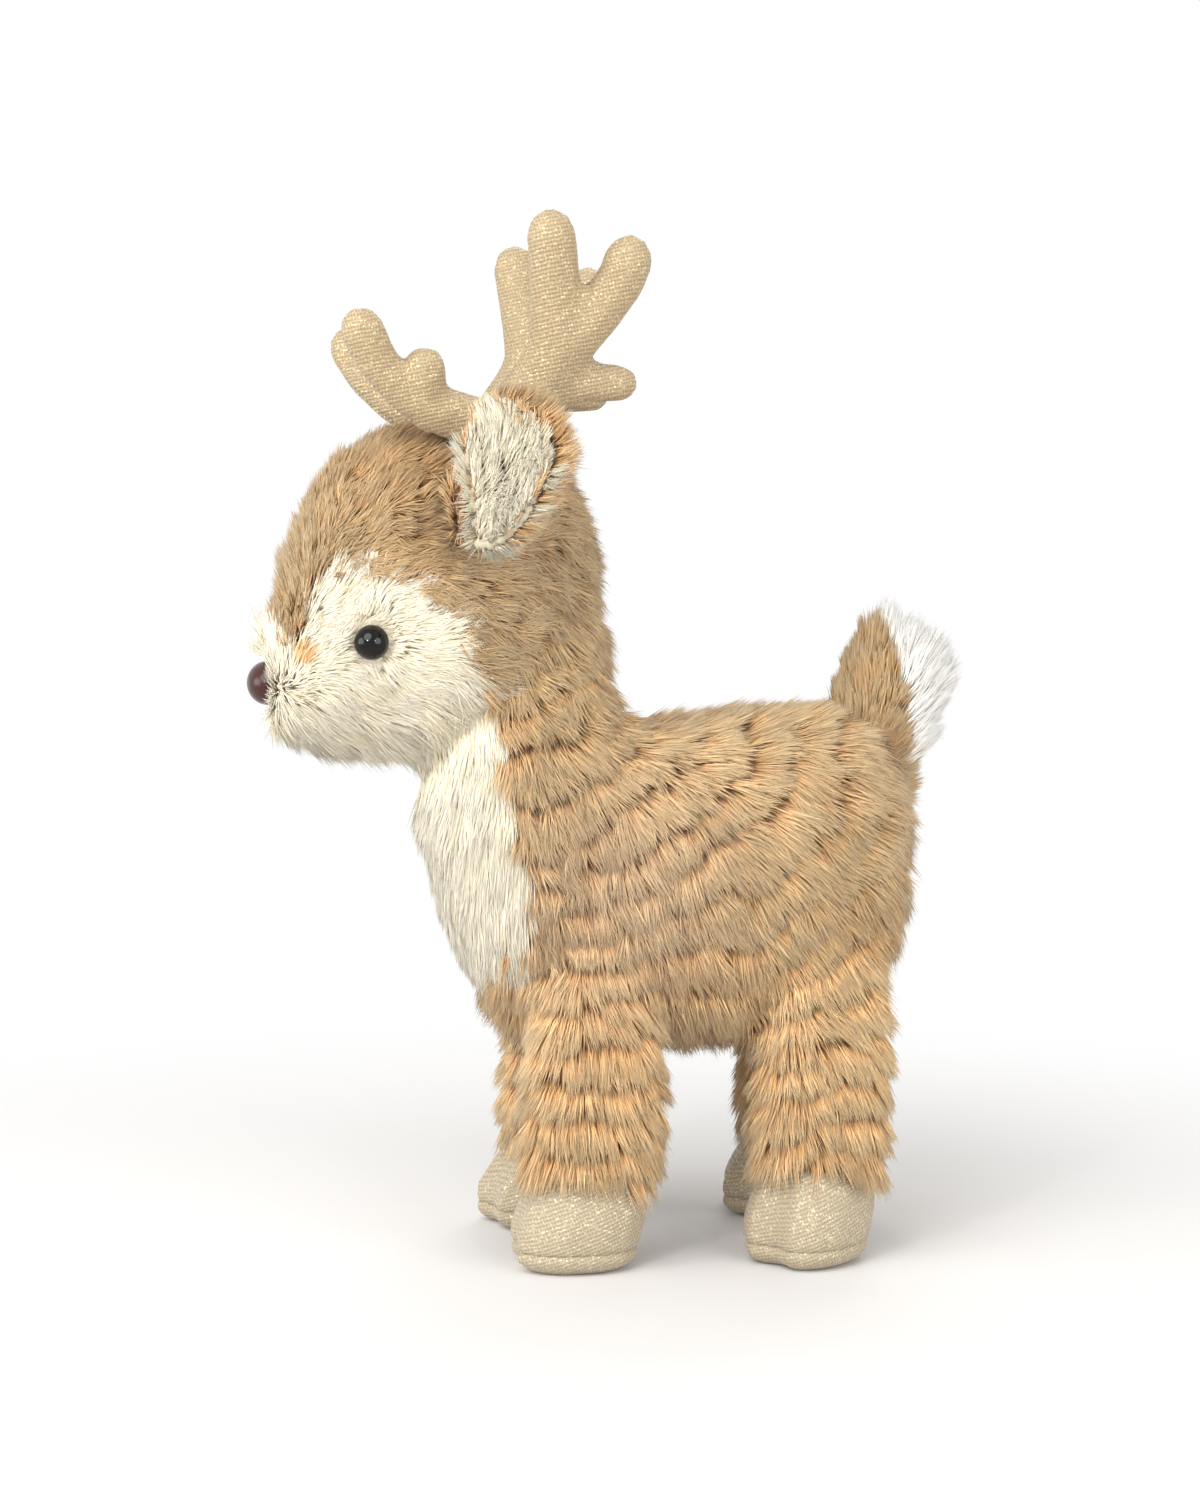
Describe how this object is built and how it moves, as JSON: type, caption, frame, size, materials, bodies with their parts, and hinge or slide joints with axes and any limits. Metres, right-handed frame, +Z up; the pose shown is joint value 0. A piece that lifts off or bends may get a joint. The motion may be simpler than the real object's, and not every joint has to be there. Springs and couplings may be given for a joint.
{
  "type": "plush deer",
  "caption": "Standing stuffed deer with shaggy plush body, pale face and bib, knitted antlers and hooves, upright tail.",
  "frame": {"origin": "on the floor, under the middle of the whole deer, which stands on its four soles", "axes": "+Z up, -X towards the nose, -Y towards the deer's own left side, which the picture shows"},
  "size_m": [0.1806, 0.1288, 0.2568],
  "materials": {
    "tan_plush": "shaggy tiered plush, tan with darker roots",
    "cream_plush": "long plush, cream",
    "white_plush": "long fluffy plush, off-white",
    "gold_knit": "fine ribbed knit with a metallic thread, golden beige",
    "hoof_knit": "fine ribbed knit with a metallic thread, greyer beige",
    "stuffing": "white polyester fibre fill",
    "bean_fill": "small plastic pellets",
    "black_plastic": "moulded, high gloss black",
    "brown_plastic": "moulded, smooth dark red-brown",
    "clear_plastic": "moulded, natural white"
  },
  "bodies": {
    "body": {"chest_bib": "cream_plush", "eye_left": "black_plastic", "eye_left_washer": "clear_plastic", "eye_right": "black_plastic", "eye_right_washer": "clear_plastic", "face_left_panel": "cream_plush", "face_right_panel": "cream_plush", "head_left_panel": "tan_plush", "head_right_panel": "tan_plush", "head_stuffing": "stuffing", "hoof_front_left_beans": "bean_fill", "hoof_front_left_cover": "hoof_knit", "hoof_front_left_sole": "hoof_knit", "hoof_front_right_beans": "bean_fill", "hoof_front_right_cover": "hoof_knit", "hoof_front_right_sole": "hoof_knit", "hoof_rear_left_beans": "bean_fill", "hoof_rear_left_cover": "hoof_knit", "hoof_rear_left_sole": "hoof_knit", "hoof_rear_right_beans": "bean_fill", "hoof_rear_right_cover": "hoof_knit", "hoof_rear_right_sole": "hoof_knit", "leg_front_left_panel": "tan_plush", "leg_front_left_stuffing": "stuffing", "leg_front_right_panel": "tan_plush", "leg_front_right_stuffing": "stuffing", "leg_rear_left_panel": "tan_plush", "leg_rear_left_stuffing": "stuffing", "leg_rear_right_panel": "tan_plush", "leg_rear_right_stuffing": "stuffing", "neck_left_panel": "tan_plush", "neck_right_panel": "tan_plush", "neck_stuffing": "stuffing", "nose": "brown_plastic", "nose_washer": "clear_plastic", "torso_left_panel": "tan_plush", "torso_right_panel": "tan_plush", "torso_stuffing": "stuffing"},
    "ear_left": {"ear_left_lining": "white_plush", "ear_left_outer": "tan_plush"},
    "antler_left": {"antler_left_inner_panel": "gold_knit", "antler_left_outer_panel": "gold_knit", "antler_left_stuffing": "stuffing"},
    "ear_right": {"ear_right_lining": "white_plush", "ear_right_outer": "tan_plush"},
    "antler_right": {"antler_right_inner_panel": "gold_knit", "antler_right_outer_panel": "gold_knit", "antler_right_stuffing": "stuffing"},
    "tail": {"tail_stuffing": "stuffing", "tail_top": "tan_plush", "tail_underside": "white_plush"}
  },
  "joints": [
    {"name": "ear_left_flex", "type": "hinge", "parent": "body", "child": "ear_left", "pos_m": [-0.03963, -0.03156, 0.18705], "axis": [0.095, -0.3619, -0.9274], "range_deg": [-20, 35], "stiffness_Nm_per_rad": 0.05},
    {"name": "ear_right_flex", "type": "hinge", "parent": "body", "child": "ear_right", "pos_m": [-0.03963, 0.03156, 0.18705], "axis": [-0.0954, -0.3617, 0.9274], "range_deg": [-20, 35], "stiffness_Nm_per_rad": 0.05},
    {"name": "antler_left_flex", "type": "hinge", "parent": "body", "child": "antler_left", "pos_m": [-0.03079, -0.01781, 0.20395], "axis": [1, 0, 0], "range_deg": [-12, 12], "stiffness_Nm_per_rad": 0.12},
    {"name": "antler_right_flex", "type": "hinge", "parent": "body", "child": "antler_right", "pos_m": [-0.03079, 0.01782, 0.20394], "axis": [1, 0, 0], "range_deg": [-12, 12], "stiffness_Nm_per_rad": 0.12},
    {"name": "tail_flex", "type": "hinge", "parent": "body", "child": "tail", "pos_m": [0.07624, -0.00004, 0.12147], "axis": [0, -1, 0], "range_deg": [-35, 8], "stiffness_Nm_per_rad": 0.06}
  ]
}
